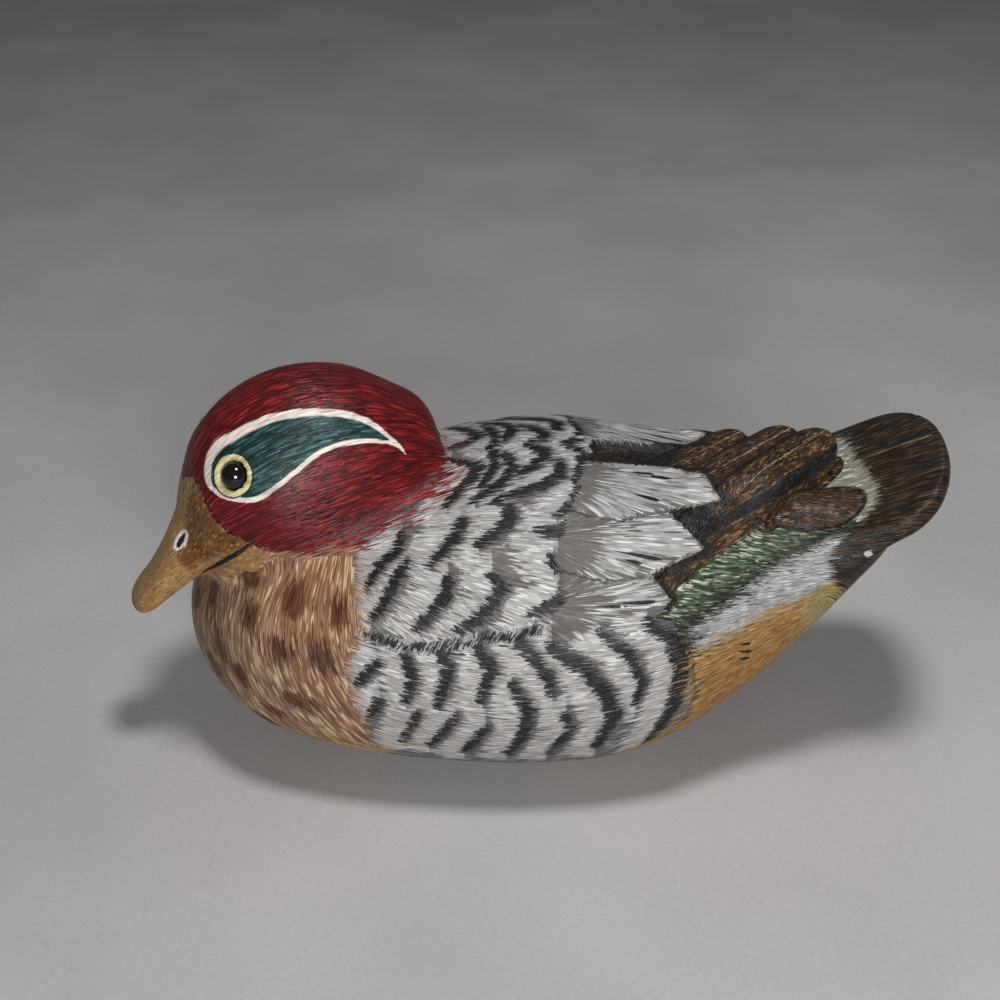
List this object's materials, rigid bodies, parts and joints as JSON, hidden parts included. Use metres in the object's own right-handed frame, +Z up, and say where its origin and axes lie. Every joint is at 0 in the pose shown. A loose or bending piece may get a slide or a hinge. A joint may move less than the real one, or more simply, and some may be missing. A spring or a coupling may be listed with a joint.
{
  "type": "carved wooden duck",
  "caption": "Small resting duck carved from one block of wood and painted, with inset bead eyes, crossed wing tips, a raised fan tail and a flat underside to stand on.",
  "frame": {"origin": "middle of the bounding box, at the level of the flat underside", "axes": "+X from the bill to the tail, -Y to the duck's left side, which the picture shows, +Z up"},
  "size_m": [0.1624, 0.0792, 0.0766],
  "materials": {
    "painted_wood": "hand painted in many thin brush strokes over fine carving, then rubbed to a soft sheen",
    "eye_bead": "polished black bead"
  },
  "bodies": {
    "root": {"carved_duck": "painted_wood", "eye_left": "eye_bead", "eye_right": "eye_bead"}
  },
  "joints": []
}
